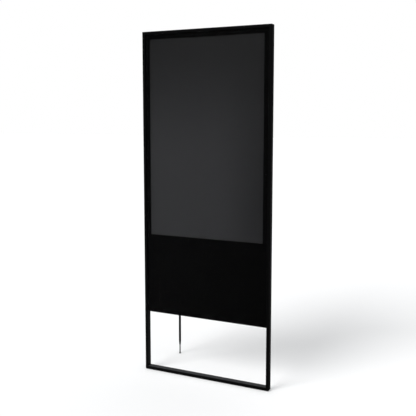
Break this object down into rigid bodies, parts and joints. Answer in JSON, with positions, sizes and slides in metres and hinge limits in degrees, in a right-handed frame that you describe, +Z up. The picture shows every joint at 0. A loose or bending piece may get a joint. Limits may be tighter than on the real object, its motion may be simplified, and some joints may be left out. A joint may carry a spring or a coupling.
{
  "type": "touchscreen kiosk",
  "caption": "Slim free-standing portrait touchscreen kiosk: open steel tube frame, full glass front, rear housing, service door and a folding rear leg.",
  "frame": {"origin": "middle of the frame's footprint, on the floor, at mid depth of the frame tube", "axes": "+Z up, -Y towards the visitor, +X to the visitor's right"},
  "size_m": [0.724, 0.2945, 1.85],
  "materials": {
    "frame_paint": "satin black powder coat",
    "housing_paint": "matt black powder coat",
    "strip_rubber": "matt",
    "front_glass": "polished, lightly anti-glare",
    "black_print": "gloss black ceramic print",
    "clear_film": "clear, glossy",
    "foam": "matt black foam",
    "display_cell": "anti-glare, dark grey when off",
    "acrylic": "clear acrylic",
    "zinc_steel": "zinc-plated sheet",
    "tray_aluminium": "mill finish",
    "black_steel": "blackened screws",
    "supply_case": "perforated supply case",
    "circuit_board": "green solder mask",
    "component_black": "moulded and anodised parts",
    "case_plastic": "fine-textured moulding",
    "gloss_black_plastic": "polished moulding",
    "lock_chrome": "nickel plated",
    "cable_jacket": "matt",
    "blade_brass": "nickel-plated brass"
  },
  "bodies": {
    "frame": {"left_post": "frame_paint", "right_post": "frame_paint", "top_rail": "frame_paint", "bottom_rail": "frame_paint", "lower_rail": "frame_paint", "cross_rail": "frame_paint", "base_strip": "strip_rubber", "touch_glass": "front_glass", "border_print": "black_print", "touch_film": "clear_film", "glass_ledges": "frame_paint", "glass_tape": "foam", "backing_panel": "housing_paint", "screen_gasket": "foam", "lcd_panel": "display_cell", "light_guide": "acrylic", "backlight_tray": "tray_aluminium", "chassis_plate": "zinc_steel", "rear_cover": "housing_paint", "cover_screws": "black_steel", "power_supply": "supply_case", "driver_board": "circuit_board", "board_standoffs": "lock_chrome", "board_components": "component_black", "touch_controller": "case_plastic", "fan_frames": "case_plastic", "speakers": "case_plastic", "connection_plate": "housing_paint", "power_inlet": "case_plastic", "inlet_blades": "blade_brass", "switch_frame": "case_plastic", "button_bezel": "lock_chrome", "media_player": "case_plastic", "door_hinge_fixed_leaves": "black_steel", "door_hinge_pins": "lock_chrome", "lock_keeper": "zinc_steel", "leg_brackets": "frame_paint", "bracket_screws": "black_steel", "leg_pivot_pin": "zinc_steel", "mains_cable": "cable_jacket", "signal_cable": "cable_jacket"},
    "door": {"service_door": "housing_paint", "door_hinge_door_leaves": "black_steel", "lock_body": "lock_chrome", "lock_nut": "zinc_steel"},
    "lock": {"lock_plug": "lock_chrome", "lock_cam": "zinc_steel"},
    "leg": {"lower_arm": "frame_paint", "upper_arm": "frame_paint", "leg_tube": "frame_paint", "leg_cap": "case_plastic", "leg_ferrule": "frame_paint"},
    "foot": {"foot_rod": "black_steel", "foot_pad": "strip_rubber"},
    "knob": {"clamp_knob": "case_plastic", "clamp_screw": "zinc_steel"},
    "left_fan": {"fan_rotor_left": "case_plastic"},
    "right_fan": {"fan_rotor_right": "case_plastic"},
    "rocker": {"switch_rocker": "gloss_black_plastic"},
    "button": {"standby_button": "gloss_black_plastic"}
  },
  "joints": [
    {"name": "door_swing", "type": "hinge", "parent": "frame", "child": "door", "pos_m": [0.334, 0.02, 0.545], "axis": [0, 0, -1], "range_deg": [0, 110]},
    {"name": "lock_turn", "type": "hinge", "parent": "door", "child": "lock", "pos_m": [-0.236, 0.008, 0.545], "axis": [0, -1, 0], "range_deg": [0, 90]},
    {"name": "leg_swing", "type": "hinge", "parent": "frame", "child": "leg", "pos_m": [-0.346, 0.03, 0.49], "axis": [0, 0, -1], "range_deg": [0, 76]},
    {"name": "foot_turn", "type": "hinge", "parent": "leg", "child": "foot", "pos_m": [-0.292, 0.27, 0.04], "axis": [0, 0, 1], "continuous": true},
    {"name": "knob_turn", "type": "hinge", "parent": "frame", "child": "knob", "pos_m": [-0.346, 0.03, 0.62], "axis": [0, 0, 1], "range_deg": [0, 180]},
    {"name": "left_fan_spin", "type": "hinge", "parent": "frame", "child": "left_fan", "pos_m": [-0.15, 0.063, 1.7], "axis": [0, 1, 0], "continuous": true},
    {"name": "right_fan_spin", "type": "hinge", "parent": "frame", "child": "right_fan", "pos_m": [0.15, 0.063, 1.7], "axis": [0, 1, 0], "continuous": true},
    {"name": "rocker_tip", "type": "hinge", "parent": "frame", "child": "rocker", "pos_m": [-0.303, 0.014, 0.44], "axis": [-1, 0, 0], "range_deg": [0, 16]},
    {"name": "button_press", "type": "slide", "parent": "frame", "child": "button", "axis": [0, -1, 0], "range_m": [0, 0.0015], "stiffness_N_per_m": 300}
  ]
}
